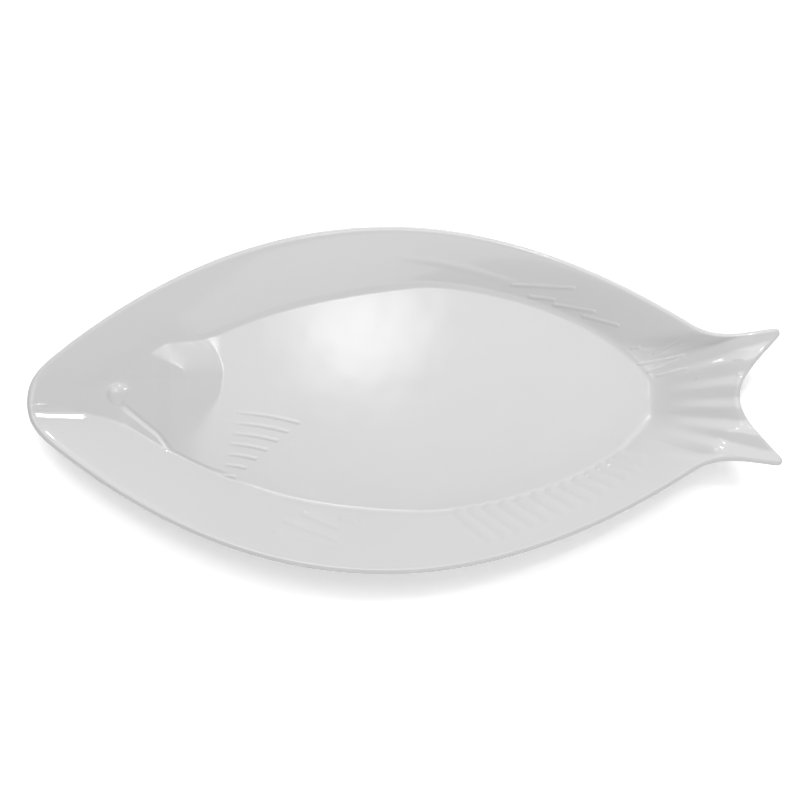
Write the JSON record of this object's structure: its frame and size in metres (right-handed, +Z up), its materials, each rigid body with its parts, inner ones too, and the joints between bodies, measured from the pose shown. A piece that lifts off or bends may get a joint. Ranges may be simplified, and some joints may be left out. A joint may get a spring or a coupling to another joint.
{
  "type": "fish shaped platter",
  "caption": "Fish shaped serving platter with a wide flat well, sloping sides, moulded eye, mouth, gills and fins, and a forked tail, standing on a low foot ring.",
  "frame": {"origin": "on the table, under the middle of the length", "axes": "+X from the snout to the tail, +Y to the back of the fish, +Z up from the table"},
  "size_m": [0.457, 0.212, 0.0275],
  "materials": {
    "glazed_porcelain": "smooth glossy white glaze",
    "bare_foot": "unglazed, ground flat"
  },
  "bodies": {
    "root": {"platter_body": "glazed_porcelain", "foot_ring": "bare_foot"}
  },
  "joints": []
}
